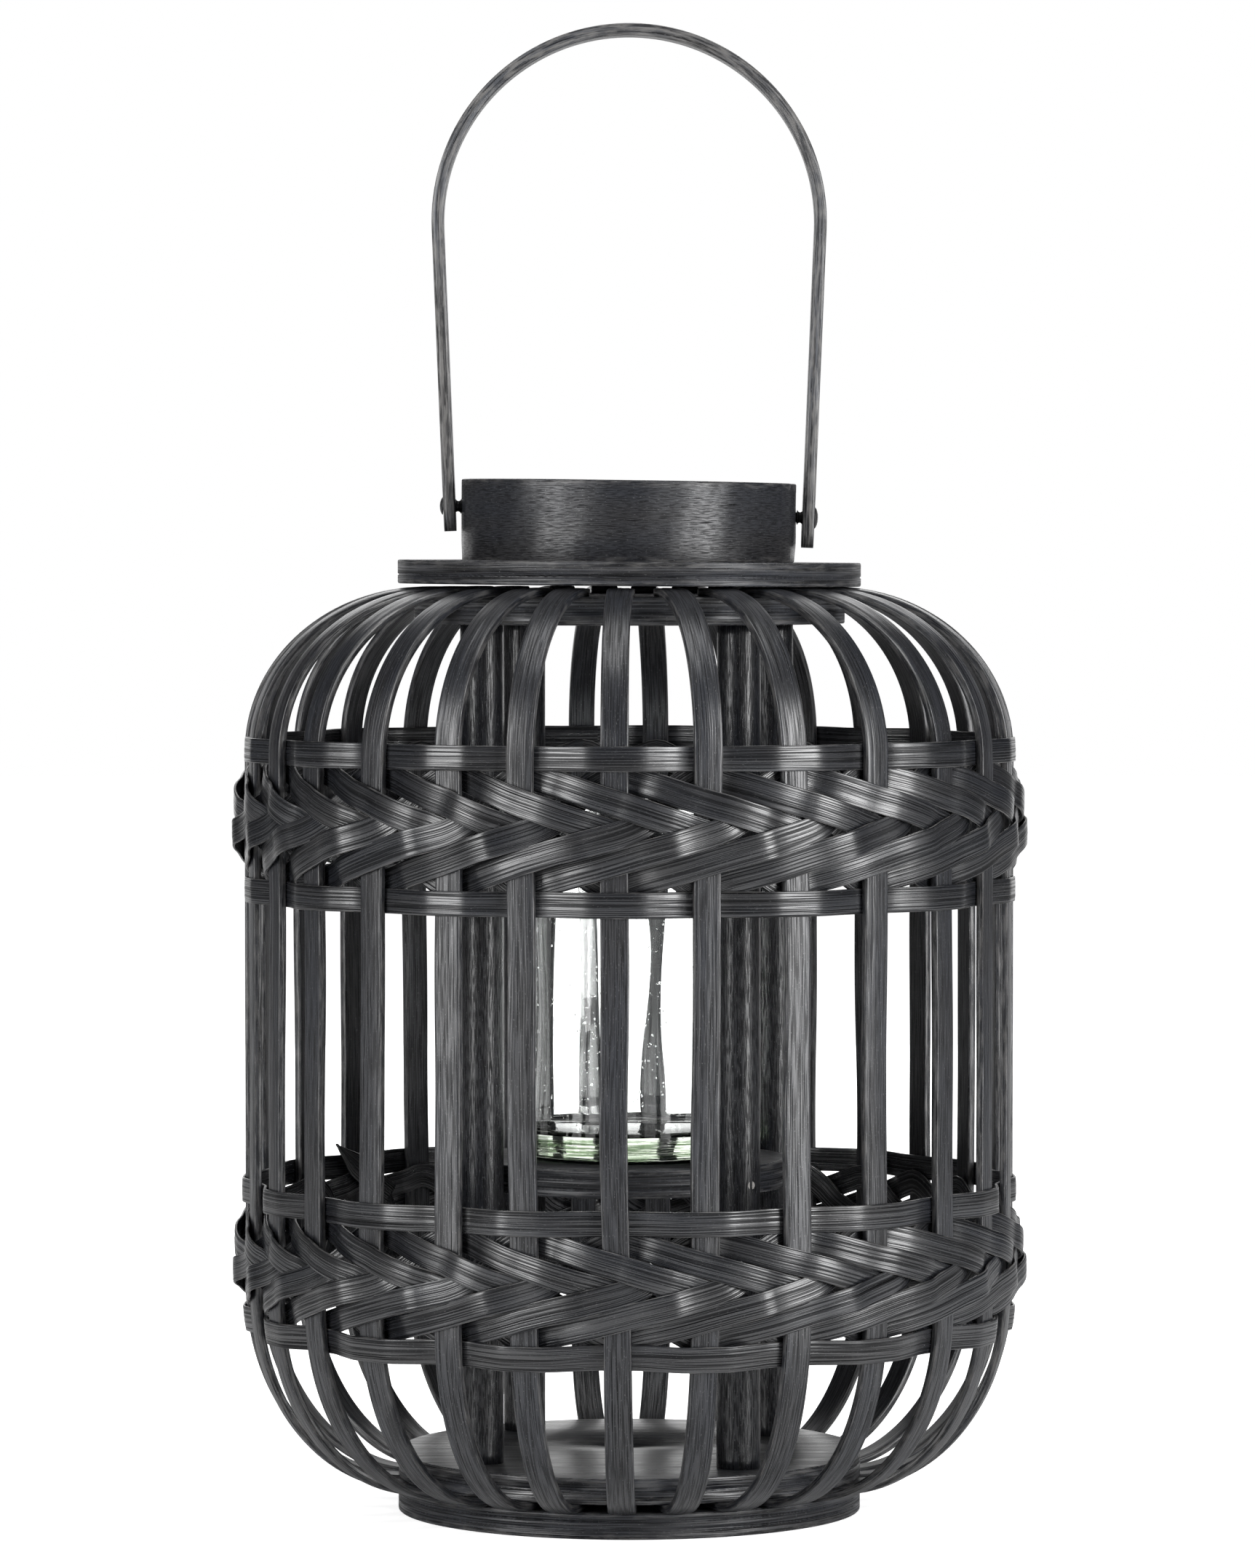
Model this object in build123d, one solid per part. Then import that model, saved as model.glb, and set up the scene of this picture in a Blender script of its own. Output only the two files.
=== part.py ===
from build123d import *
import math
import os

os.makedirs("parts", exist_ok=True)

# Candle lantern of black-stained bamboo: a barrel of bent ribs between round boards,
# two woven bands, four posts with a shelf for a glass candle cup, a collar and a bail handle.
# Millimetres, +Z up, origin at the centre of the underside of the base disc.
# The front of the lantern faces -Y, and the handle turns about an axis along X.

# Round boards
board_radius = 85.0
board_edge = 0.8
base_thickness = 9.4
floor_thickness = 9.4
plate_thickness = 8.7
mouth_radius = 58.4
top_ring_radius = 79.0
top_ring_thickness = 10.4
floor_bevel = 1.5
ring_bevel = 3.2

# Ribs
rib_width = 9.6
rib_thickness = 3.0
barrel_radius = 140.8
tongue_radius = 70.0
foot_bend_radius = 83.0
foot_bend_height = 72.4
shoulder_bend_radius = 75.0
shoulder_bend_height = 60.3
plate_underside = 338.6
# degrees from the front, towards the right; a maker's eye spaced them, so they are uneven
rib_angles = (
    -172.5, -159, -144, -130.7, -118.4, -104, -90, -76.5, -65.1, -53.3, -40.4, -27, -15.5, -2,
    11.1, 24.7, 38.3, 53, 66.4, 79.2, 90.6, 102, 114.7, 127.4, 139.2, 151, 163, 175.5,
)

# Posts and shelf
post_radius = 8.0
post_circle_radius = 66.2
post_angles = (36.4, -53.6, -143.6, 126.4)
shelf_underside = 119.0
shelf_thickness = 10.4
shelf_radius = 58.0
shelf_groove = 0.7

# Collar and handle
collar_radius = 61.4
collar_height = 30.7
collar_lap_angle = 75.0
collar_lap_width = 0.8
collar_lap_depth = 0.9
pivot_height = 366.0
pivot_tilt = 1.9  # the right rivet sits lower than the left
handle_thickness = 4.4
handle_width = 14.0
arch_radius = 72.2
arch_centre_height = 471.9
leg_lean = 2.33
left_leg_end = 358.9
right_leg_end = 352.8
leg_end_rounding = 5.5
rivet_radius = 1.8
rivet_head_radius = 3.5
rivet_head_height = 1.1
rivet_head_stand = 0.35
rivet_clearance = 0.06
rivet_inner_head = 1.0
rivet_inner_stand = 0.15

# Glass cup
glass_radius = 42.0
glass_wall = 3.0
glass_base = 9.5
glass_height = 130.0
glass_lip = 1.2
glass_rounding = 2.4

# Woven strips
strip_thickness = 1.1
strip_gap = 0.2
hoop_width = 9.0
upper_band_height = 254.3
upper_hoop_offset = 25.4
upper_weaver_width = 8.0
lower_band_height = 94.3
lower_hoop_offset = 23.6
lower_weaver_width = 7.5
weaver_inset = 5.6
weavers_per_band = 2
weaver_rounds = 3
rib_edge = 0.2  # of the way to the next rib, just past the rib's own edge

# One weaver's course over six ribs: (ribs on, layer, height as a share of the topmost).
# It comes from behind a rib at the top and crosses two ribs going down to the middle, goes in behind
# the third at the bottom, and crosses two ribs going up to the middle, under and over its neighbours.
weave_course = (
    (0.0, -2, 1.0), (0.2, -2, 0.91), (0.5, 0, 0.77), (0.8, 1, 0.61),
    (1.0, 1.5, 0.51), (1.2, 2.9, 0.41), (1.4, 3.3, 0.3), (1.6, 2.9, 0.19), (1.8, 1.2, 0.08),
    (2.0, 1, -0.03), (2.2, 0.95, -0.14), (2.35, 0.2, -0.26), (2.5, -0.9, -0.46), (2.7, -1.8, -0.78),
    (3.0, -2, -1.0), (3.2, -2, -0.91), (3.5, 0, -0.77), (3.8, 1, -0.63),
    (4.0, 1.5, -0.53), (4.2, 2.2, -0.43), (4.4, 3.5, -0.33), (4.6, 4.1, -0.24), (4.8, 2.7, -0.15),
    (5.0, 2, -0.06), (5.2, 1.9, 0.06), (5.35, 0.9, 0.2), (5.5, -0.7, 0.44), (5.7, -1.8, 0.77),
)
course_ribs = 6

# Fasteners
screw_radius = 1.6
screw_head_radius = 3.4
screw_head_height = 2.2
screw_grip = 22.0
brad_radius = 0.8
brad_head_radius = 1.5
brad_head_height = 1.0
brad_recess = 0.3
brad_grip = 12.0
fastener_clearance = 0.1

cut_extra = 1.0  # how far a cut runs on past the piece

base_top = base_thickness
floor_underside = base_top + rib_thickness
floor_top = floor_underside + floor_thickness
top_ring_top = plate_underside - rib_thickness
top_ring_underside = top_ring_top - top_ring_thickness
plate_top = plate_underside + plate_thickness
shelf_top = shelf_underside + shelf_thickness


def polar(radius, angle, height):
    """A point at an angle in degrees from the front, towards the right."""
    turn = math.radians(angle)
    return Vector(radius * math.sin(turn), -radius * math.cos(turn), height)


def facing(angle):
    """The turn about Z that carries +X to an angle from the front."""
    return Rot(0, 0, angle - 90)


def write(node, solid):
    solid.label = node
    export_step(solid, f"parts/{node}.step")


def drilled(solid, holes):
    for hole in holes:
        solid = solid - hole
    return solid


def upright(radius, low, high, angle=None, reach=0.0):
    """A round bar along Z, on the centre line or at an angle and a reach from it."""
    place = Vector(0, 0, 0) if angle is None else polar(reach, angle, 0)
    middle = place + Vector(0, 0, (low + high) / 2)
    return Pos(*middle) * Cylinder(radius, high - low)


def disc(radius, low, high):
    body = upright(radius, low, high)
    rims = body.edges().filter_by(GeomType.CIRCLE)
    return chamfer(rims, board_edge)


def countersunk(radius, head_radius, head_height, length):
    """A screw or its hole along +Z, with the flat of its head at the origin."""
    head = Pos(0, 0, head_height / 2) * Cone(head_radius, radius, head_height)
    shank = Pos(0, 0, length / 2) * Cylinder(radius, length)
    return head + shank


# ---- boards ----

def base_screw(extra):
    length = floor_top + screw_grip
    return countersunk(screw_radius + extra, screw_head_radius + extra, screw_head_height, length)


def base_screw_places():
    return [Pos(*polar(post_circle_radius, angle, 0)) for angle in post_angles]


def top_screw(extra):
    length = top_ring_thickness + screw_grip
    screw = countersunk(screw_radius + extra, screw_head_radius + extra, screw_head_height, length)
    return Rot(180, 0, 0) * screw


def top_screw_places():
    return [Pos(*polar(post_circle_radius, angle, top_ring_top)) for angle in post_angles]


def base_holes():
    return [place * base_screw(fastener_clearance) for place in base_screw_places()]


def top_holes():
    return [place * top_screw(fastener_clearance) for place in top_screw_places()]


def make_base_disc():
    return drilled(disc(board_radius, 0, base_top), base_holes())


def make_floor_disc():
    body = upright(board_radius, floor_underside, floor_top)
    rims = body.edges().filter_by(GeomType.CIRCLE).sort_by(Axis.Z)
    body = chamfer(rims[0], floor_bevel)
    rims = body.edges().filter_by(GeomType.CIRCLE).sort_by(Axis.Z)
    body = chamfer(rims[-1], board_edge)
    return drilled(body, base_holes())


def make_top_ring():
    body = upright(top_ring_radius, top_ring_underside, top_ring_top)
    rims = body.edges().filter_by(GeomType.CIRCLE).sort_by(Axis.Z)
    body = chamfer(rims[-1], ring_bevel)
    body = body - upright(mouth_radius, top_ring_underside - cut_extra, top_ring_top + cut_extra)
    return drilled(body, top_holes())


def make_top_plate():
    body = disc(board_radius, plate_underside, plate_top)
    return body - upright(mouth_radius, plate_underside - cut_extra, plate_top + cut_extra)


# ---- posts and shelf ----

def brad(angle, extra):
    """A headed brad, or its hole, from a post's outer side into the rim of the shelf."""
    start = polar(post_circle_radius + post_radius, angle, shelf_underside + shelf_thickness / 2)
    head_start = -extra if extra else brad_recess
    head_end = brad_recess + brad_head_height + extra
    end = 2 * post_radius + brad_grip + extra
    head = Cylinder(brad_head_radius + extra, head_end - head_start)
    head = Pos(0, 0, (head_start + head_end) / 2) * head
    shank = Cylinder(brad_radius + extra, end - brad_recess)
    shank = Pos(0, 0, (end + brad_recess) / 2) * shank
    inward = polar(-1, angle, 0)
    return Plane(origin=start, z_dir=inward) * (head + shank)


def make_post(angle):
    body = upright(post_radius, floor_top, top_ring_underside, angle, post_circle_radius)
    holes = base_holes() + top_holes() + [brad(angle, fastener_clearance)]
    return drilled(body, holes)


def make_shelf():
    body = disc(shelf_radius, shelf_underside, shelf_top)
    middle = shelf_underside + shelf_thickness / 2
    groove = upright(shelf_radius + cut_extra, middle - shelf_groove / 2, middle + shelf_groove / 2)
    groove = groove - upright(shelf_radius - shelf_groove, shelf_underside, shelf_top)
    holes = [brad(angle, fastener_clearance) for angle in post_angles]
    return drilled(body - groove, holes)


# ---- ribs ----

def rib_line(inset):
    """One face of a rib in its own plane, from the foot tongue up to the shoulder tongue."""
    foot = base_top + inset
    top = plate_underside - inset
    foot_centre = (foot_bend_radius, base_top + foot_bend_height)
    top_centre = (shoulder_bend_radius, plate_underside - shoulder_bend_height)
    belly = barrel_radius - inset
    foot_arc = EllipticalCenterArc(
        foot_centre, belly - foot_bend_radius, foot_bend_height - inset, 270, arc_size=90
    )
    top_arc = EllipticalCenterArc(
        top_centre, belly - shoulder_bend_radius, shoulder_bend_height - inset, 0, arc_size=90
    )
    foot_tongue = Line((tongue_radius, foot), (foot_bend_radius, foot))
    side = Line((belly, foot_centre[1]), (belly, top_centre[1]))
    top_tongue = Line((shoulder_bend_radius, top), (tongue_radius, top))
    return [foot_tongue, foot_arc, side, top_arc, top_tongue]


def make_rib(angle):
    foot_end = Line((tongue_radius, base_top), (tongue_radius, base_top + rib_thickness))
    top_end = Line((tongue_radius, plate_underside), (tongue_radius, plate_underside - rib_thickness))
    outline = Wire(rib_line(0) + [foot_end] + rib_line(rib_thickness) + [top_end])
    profile = Plane.XZ * Face(outline)
    return facing(angle) * extrude(profile, rib_width / 2, both=True)


# ---- woven bands ----

def belly_at(height):
    """The radius of the ribs' outer face at a height."""
    foot_end = base_top + foot_bend_height
    shoulder_start = plate_underside - shoulder_bend_height
    if height < foot_end:
        share = (foot_end - height) / foot_bend_height
        return foot_bend_radius + (barrel_radius - foot_bend_radius) * math.sqrt(1 - share**2)
    if height > shoulder_start:
        share = (height - shoulder_start) / shoulder_bend_height
        return shoulder_bend_radius + (barrel_radius - shoulder_bend_radius) * math.sqrt(1 - share**2)
    return barrel_radius


def layer_offset(layer):
    """From the ribs' outer face to a strip's middle: layer 1 is on the ribs, 2 over that, -1 behind them."""
    step = strip_thickness + strip_gap
    if layer >= 1:
        return layer * step - strip_thickness / 2
    if layer <= -1:
        return layer * step + strip_thickness / 2 - rib_thickness
    share = (layer + 1) / 2
    return layer_offset(-1) * (1 - share) + layer_offset(1) * share


def outward_at(angle, height):
    """The direction square to the ribs' outer face at an angle and a height."""
    rise = (belly_at(height + 1) - belly_at(height - 1)) / 2
    return (polar(1, angle, 0) - Vector(0, 0, rise)).normalized()


def strip_middle(place, layer, height):
    angle = angle_at(place)
    on_rib = polar(belly_at(height), angle, height)
    return on_rib + outward_at(angle, height) * layer_offset(layer)


def angle_at(place):
    """The angle at a place counted in ribs, so 2.5 is midway between ribs 2 and 3."""
    count = len(rib_angles)
    turns, rib = divmod(math.floor(place), count)
    this = rib_angles[rib]
    after = rib_angles[rib + 1] if rib + 1 < count else rib_angles[0] + 360
    return this + (after - this) * (place - math.floor(place)) + 360 * turns


def strip_corners(path, middles, width):
    """The four long edges of a closed strip, as lists of points, for a path of (place, layer, height)."""
    corners = [[], [], [], []]
    for number, middle in enumerate(middles):
        ahead = middles[(number + 1) % len(middles)] - middles[number - 1]
        outward = outward_at(angle_at(path[number][0]), path[number][2])
        across = outward.cross(ahead.normalized()).normalized()
        for corner, (side, face) in enumerate(((1, 1), (-1, 1), (-1, -1), (1, -1))):
            offset = across * (side * width / 2) + outward * (face * strip_thickness / 2)
            corners[corner].append(middle + offset)
    return corners


def take_span(points, start, length):
    return [points[(start + step) % len(points)] for step in range(length + 1)]


def distances(points):
    """Each point's distance along a list of points."""
    reached = [0]
    for before, after in zip(points, points[1:]):
        reached.append(reached[-1] + (after - before).length)
    return reached


def span_edge(points, start, length, reached):
    """A smooth edge through one span of a closed list of points, timed by the span's middle line."""
    first = points[(start + 1) % len(points)] - points[start - 1]
    last = points[(start + length + 1) % len(points)] - points[(start + length - 1) % len(points)]
    inside = take_span(points, start, length)
    return Edge.make_spline(
        inside, tangents=[first.normalized(), last.normalized()], parameters=reached
    )


def make_strip(path, width, span_points):
    """A closed flat strip whose section turns with its path, as one solid in short spans."""
    middles = [strip_middle(*point) for point in path]
    corners = strip_corners(path, middles, width)
    faces = []
    for start in range(0, len(path), span_points):
        reached = distances(take_span(middles, start, span_points))
        edges = [span_edge(line, start, span_points, reached) for line in corners]
        for number in range(4):
            faces.append(Face.make_surface_from_curves(edges[number], edges[(number + 1) % 4]))
    return Solid(Shell(faces))


def hoop_path(height, first_layer):
    """Over one rib and behind the next, all the way round."""
    path = []
    for rib in range(len(rib_angles)):
        layer = first_layer if rib % 2 else -first_layer
        path.append((rib - rib_edge, layer, height))
        path.append((rib, layer, height))
        path.append((rib + rib_edge, layer, height))
        path.append((rib + 0.5, 0, height))
    return path


def weaver_path(first_rib, band_height, hoop_offset):
    """As many rounds of the band as bring the weaver back to its own start."""
    reach = hoop_offset - weaver_inset
    courses = len(rib_angles) * weaver_rounds // course_ribs
    path = []
    for course in range(courses):
        for ribs_on, layer, share in weave_course:
            place = first_rib + course * course_ribs + ribs_on
            path.append((place, layer, band_height + share * reach))
    return path


def make_weaver(first_rib, band_height, hoop_offset, width):
    quarter_course = len(weave_course) // 4
    return make_strip(weaver_path(first_rib, band_height, hoop_offset), width, quarter_course)


def make_hoop(height, first_layer):
    path = hoop_path(height, first_layer)
    two_ribs = 2 * len(path) // len(rib_angles)
    return make_strip(path, hoop_width, two_ribs)


# ---- collar, handle and rivets ----

def on_pivot(side):
    """The place at the handle's pivot where +X runs along its axis to one side."""
    return Pos(0, 0, pivot_height) * Rot(0, pivot_tilt, 0) * Rot(0, 0, 0 if side > 0 else 180)


def along_x(radius, near, far):
    bar = Plane.YZ * Cylinder(radius, far - near)
    return Pos((near + far) / 2, 0, 0) * bar


def rivet(side, extra):
    """A domed rivet through a handle leg and the collar, or the hole for its shank."""
    head_face = leg_reach(side) + rivet_head_stand
    inside = mouth_radius - rivet_inner_stand
    shank = along_x(rivet_radius + extra, inside, head_face + rivet_head_height / 2)
    if extra:
        return on_pivot(side) * shank
    inner_head = along_x(rivet_head_radius, inside - rivet_inner_head, inside)
    head = Pos(head_face, 0, 0) * dome()
    return on_pivot(side) * (shank + inner_head + head)


def dome():
    """A rivet head that rises along +X from a flat face at the origin."""
    ball = (rivet_head_radius**2 + rivet_head_height**2) / (2 * rivet_head_height)
    half_reach = rivet_head_radius / 2
    half_rise = math.sqrt(ball**2 - half_reach**2) - (ball - rivet_head_height)
    top = (0, rivet_head_height)
    skin = ThreePointArc((rivet_head_radius, 0), (half_reach, half_rise), top)
    profile = Wire([Line((0, 0), (rivet_head_radius, 0)), skin, Line(top, (0, 0))])
    return Rot(0, 0, -90) * revolve(Face(profile), Axis.Y)


def leg_reach(side):
    """How far along the pivot's axis the outer face of a leg is from the middle."""
    lean = math.radians(leg_lean)
    face = arch_radius - (arch_centre_height - pivot_height) * math.sin(lean)
    return face / math.cos(lean - side * math.radians(pivot_tilt))


def leg_at(radius, height):
    """How far out a face of a leg is at a height below the arch."""
    lean = math.radians(leg_lean)
    return (radius - (arch_centre_height - height) * math.sin(lean)) / math.cos(lean)


def arch_line(radius):
    """One face of the handle: up the left leg, over the arch and down the right leg."""
    lean = math.radians(leg_lean)
    touch = (radius * math.cos(lean), arch_centre_height - radius * math.sin(lean))
    left = Line((-leg_at(radius, left_leg_end), left_leg_end), (-touch[0], touch[1]))
    over = ThreePointArc((-touch[0], touch[1]), (0, arch_centre_height + radius), touch)
    right = Line(touch, (leg_at(radius, right_leg_end), right_leg_end))
    return [left, over, right]


def leg_end(side, height):
    """The end of a leg at a height, straight across from its inner face to its outer face."""
    inner = side * leg_at(arch_radius - handle_thickness, height)
    outer = side * leg_at(arch_radius, height)
    return Line((inner, height), (outer, height))


def make_handle():
    outer_face = arch_line(arch_radius)
    inner_face = arch_line(arch_radius - handle_thickness)
    ends = [leg_end(-1, left_leg_end), leg_end(1, right_leg_end)]
    profile = Plane.XZ * Face(Wire(outer_face + inner_face + ends))
    body = extrude(profile, handle_width / 2, both=True)
    rims = body.edges().filter_by(Axis.X).filter_by(lambda edge: edge.center().Z < pivot_height)
    body = fillet(rims, leg_end_rounding)
    return drilled(body, [rivet(1, rivet_clearance), rivet(-1, rivet_clearance)])


def make_collar():
    collar_top = plate_top + collar_height
    body = upright(collar_radius, plate_top, collar_top)
    body = body - upright(mouth_radius, plate_top - cut_extra, collar_top + cut_extra)
    groove = Box(2 * collar_lap_depth, collar_lap_width, collar_height + 2 * cut_extra)
    groove = Pos(collar_radius, 0, plate_top + collar_height / 2) * groove
    body = body - facing(collar_lap_angle) * groove
    return drilled(body, [rivet(1, rivet_clearance), rivet(-1, rivet_clearance)])


# ---- glass ----

def make_glass():
    body = upright(glass_radius, shelf_top, shelf_top + glass_height)
    rim = body.edges().filter_by(GeomType.CIRCLE).sort_by(Axis.Z)
    body = fillet(rim[0], glass_rounding)
    hollow = upright(glass_radius - glass_wall, shelf_top + glass_base, shelf_top + glass_height)
    floor_rim = hollow.edges().filter_by(GeomType.CIRCLE).sort_by(Axis.Z)
    hollow = fillet(floor_rim[0], glass_rounding)
    body = body - hollow
    lips = body.edges().filter_by(GeomType.CIRCLE).group_by(Axis.Z)[-1]
    return fillet(lips, glass_lip)


# ---- write every node ----

def write_boards():
    write("base_disc", make_base_disc())
    write("floor_disc", make_floor_disc())
    write("shelf_disc", make_shelf())
    write("top_ring", make_top_ring())
    write("top_plate", make_top_plate())


def write_posts():
    for number, angle in enumerate(post_angles, 1):
        write(f"post_{number}", make_post(angle))


def write_ribs():
    for number, angle in enumerate(rib_angles, 1):
        write(f"rib_{number:02d}", make_rib(angle))


def write_band(name, height, offset, width, first_layer):
    write(f"{name}_band_top_hoop", make_hoop(height + offset, first_layer))
    write(f"{name}_band_bottom_hoop", make_hoop(height - offset, first_layer))
    for number in range(weavers_per_band):
        weaver = make_weaver(number, height, offset, width)
        write(f"{name}_band_weaver_{number + 1}", weaver)


def write_fasteners():
    base_screws = [place * base_screw(0) for place in base_screw_places()]
    top_screws = [place * top_screw(0) for place in top_screw_places()]
    shelf_brads = [brad(angle, 0) for angle in post_angles]
    write("base_screws", Compound(children=base_screws))
    write("top_screws", Compound(children=top_screws))
    write("shelf_brads", Compound(children=shelf_brads))


def write_top():
    write("collar", make_collar())
    write("handle", make_handle())
    write("rivet_left", rivet(-1, 0))
    write("rivet_right", rivet(1, 0))


write_boards()
write_posts()
write_ribs()
write_band("upper", upper_band_height, upper_hoop_offset, upper_weaver_width, 1)
write_band("lower", lower_band_height, lower_hoop_offset, lower_weaver_width, -1)
write_fasteners()
write_top()
write("glass_cup", make_glass())
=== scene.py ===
import math
import random

import bpy
import numpy as np
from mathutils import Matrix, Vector


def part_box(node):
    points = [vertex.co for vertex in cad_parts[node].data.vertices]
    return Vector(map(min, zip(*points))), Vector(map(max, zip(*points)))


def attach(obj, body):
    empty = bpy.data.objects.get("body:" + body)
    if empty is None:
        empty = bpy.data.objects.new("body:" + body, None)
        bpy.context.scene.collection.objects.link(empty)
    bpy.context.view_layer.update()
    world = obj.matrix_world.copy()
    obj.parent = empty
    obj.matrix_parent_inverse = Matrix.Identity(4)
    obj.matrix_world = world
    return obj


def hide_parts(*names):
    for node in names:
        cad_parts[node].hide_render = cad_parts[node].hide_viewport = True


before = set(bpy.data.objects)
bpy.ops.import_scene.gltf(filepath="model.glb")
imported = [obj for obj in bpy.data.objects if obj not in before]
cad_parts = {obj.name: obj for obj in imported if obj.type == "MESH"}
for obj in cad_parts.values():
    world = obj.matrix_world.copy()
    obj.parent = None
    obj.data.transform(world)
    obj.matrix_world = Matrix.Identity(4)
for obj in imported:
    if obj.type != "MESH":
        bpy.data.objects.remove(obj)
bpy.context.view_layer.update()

# ---------------------------------------------------------------- sizes, in metres

FRAME_BODY = "lantern_frame"
BASE_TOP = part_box("base_disc")[1].z
FLOOR_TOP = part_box("floor_disc")[1].z
SHELF_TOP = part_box("shelf_disc")[1].z
RING_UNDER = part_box("top_ring")[0].z
PLATE_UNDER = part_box("top_plate")[0].z
PLATE_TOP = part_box("top_plate")[1].z
COLLAR_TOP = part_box("collar")[1].z
COLLAR_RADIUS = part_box("collar")[1].x
MOUTH_RADIUS = 0.0584
PIN_HOLE = 0.0006  # at the middle of a whole board, where its mesh closes
RIM_WANDER = 0.00018

RIB_WIDTH = 0.0098
RIB_THICKNESS = 0.003
BARREL_RADIUS = 0.1408
TONGUE_RADIUS = 0.070
FOOT_BEND_RADIUS = 0.083
FOOT_BEND_HEIGHT = 0.0724
SHOULDER_BEND_RADIUS = 0.075
SHOULDER_BEND_HEIGHT = 0.0603
# degrees from the front, towards the right
RIB_ANGLES = (
    -172.5, -159, -144, -130.7, -118.4, -104, -90, -76.5, -65.1, -53.3, -40.4, -27, -15.5, -2,
    11.1, 24.7, 38.3, 53, 66.4, 79.2, 90.6, 102, 114.7, 127.4, 139.2, 151, 163, 175.5,
)
RIB_COUNT = len(RIB_ANGLES)

POST_RADIUS = 0.008
POST_CIRCLE_RADIUS = 0.0662
POST_ANGLES = (36.4, -53.6, -143.6, 126.4)

STRIP_THICKNESS = 0.00105
STRIP_GAP = 0.0002
HOOP_WIDTH = 0.0090
BANDS = {
    "upper": {"height": 0.2543, "offset": 0.0254, "width": 0.0096, "first_layer": 1},
    "lower": {"height": 0.0943, "offset": 0.0236, "width": 0.0091, "first_layer": -1},
}
WEAVER_INSET = 0.0056
RIB_EDGE = 0.2

PIVOT_HEIGHT = 0.366
PIVOT_TILT = math.radians(1.9)
HANDLE_THICKNESS = 0.0044
HANDLE_WIDTH = 0.014
ARCH_RADIUS = 0.0722
ARCH_CENTRE = 0.4719
LEG_LEAN = math.radians(2.33)
LEFT_LEG_END = 0.3589
RIGHT_LEG_END = 0.3528
LEG_END_ROUNDING = 0.0055
COLLAR_LAP = 75.0

GLASS_RADIUS = 0.042
GLASS_WALL = 0.003
GLASS_BASE = 0.0095
GLASS_HEIGHT = 0.130

ANY_PHASE = 6.28  # the most that a sine is shifted by, in radians


# ---------------------------------------------------------------- mesh building

def polar(radius, degrees, height):
    """The point at a radius and height, in degrees from the front towards the right."""
    turn = np.radians(degrees)
    return np.stack([radius * np.sin(turn), -radius * np.cos(turn), height + 0 * turn], -1)


def turn_outward(mesh):
    """Flips the faces of a closed mesh that was built inside out."""
    count = len(mesh.polygons)
    centre, normal = np.empty((2, 3 * count), np.float32)
    area = np.empty(count, np.float32)
    mesh.polygons.foreach_get("center", centre)
    mesh.polygons.foreach_get("normal", normal)
    mesh.polygons.foreach_get("area", area)
    faced = (centre * normal).reshape(-1, 3).sum(-1)
    if (faced * area).sum() < 0:
        mesh.flip_normals()


def skin(name, rings, along, around, closed, material, worn=None):
    """A tube through rings of points, with the UV map "grain": metres along it and round it.

    The attribute "worn" is 1 on the edges that hands rub and 0 on the faces; the woven strips' material
    also uses it for a painted highlight along those edges.
    """
    rows, columns = rings.shape[:2]
    spans = rows if closed else rows - 1
    i = np.arange(spans)[:, None]
    j = np.arange(columns)[None, :]
    after, beside = (i + 1) % rows, (j + 1) % columns
    quads = np.stack(
        [i * columns + j, i * columns + beside, after * columns + beside, after * columns + j], -1
    ).reshape(-1, 4)
    faces = quads.tolist()
    here, ahead = along[i] + 0 * j, along[i + 1] + 0 * j
    near, far = around[j] + 0 * i, around[j + 1] + 0 * i
    u = np.stack([here, here, ahead, ahead], -1)
    v = np.stack([near, far, far, near], -1)
    uv = np.stack([u, v], -1).reshape(-1, 2)
    if not closed:
        faces.append(list(range(columns))[::-1])
        faces.append(list(range((rows - 1) * columns, rows * columns)))
        low = np.stack([along[0] + 0 * around[:-1], around[:-1]], -1)
        high = np.stack([along[-1] + 0 * around[:-1], around[:-1]], -1)
        uv = np.concatenate([uv, low[::-1], high])
    mesh = bpy.data.meshes.new(name)
    mesh.from_pydata(rings.reshape(-1, 3).tolist(), [], faces)
    layer = mesh.uv_layers.new(name="grain")
    layer.data.foreach_set("uv", uv.astype(np.float32).ravel())
    mesh.polygons.foreach_set("use_smooth", [True] * len(mesh.polygons))
    if worn is not None:
        rubbed = mesh.attributes.new("worn", "FLOAT", "POINT")
        shares = np.broadcast_to(worn, (rows, columns)).astype(np.float32)
        rubbed.data.foreach_set("value", shares.ravel())
    mesh.update()
    turn_outward(mesh)
    piece = bpy.data.objects.new(name, mesh)
    bpy.context.scene.collection.objects.link(piece)
    mesh.materials.append(material)
    return piece


def place(piece, body, slot, *nodes):
    """Lets a piece ride on its body, in place of the CAD nodes that it shows; the slot is not used."""
    if nodes:
        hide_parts(*nodes)
    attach(piece, body)
    return piece


def lengths(points):
    """Distance along a line of points, from 0."""
    steps = np.linalg.norm(np.diff(points, axis=0), axis=1)
    return np.concatenate([[0], np.cumsum(steps)])


def unit(rows):
    """Vectors of length 1."""
    return rows / np.linalg.norm(rows, axis=-1, keepdims=True)


def waves(rng, at, longest, count=4):
    """A slow wander of about -1 to 1 along a length, made of a few sines."""
    total = np.zeros_like(at)
    for number in range(count):
        pitch = longest / (1 + number * 0.83)
        total += np.sin(2 * math.pi * at / pitch + rng.uniform(0, ANY_PHASE)) / (1 + number)
    return total / 1.6


# ---------------------------------------------------------------- split bamboo strips

FIBRE_PITCH = 0.031
WIDTH_PITCH = 0.23
JOIN_LENGTH = 0.05  # a closed strip has its plain width this near to its join
GRAIN_SHIFT = 3  # metres, so that no two strips show the same grain


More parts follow.
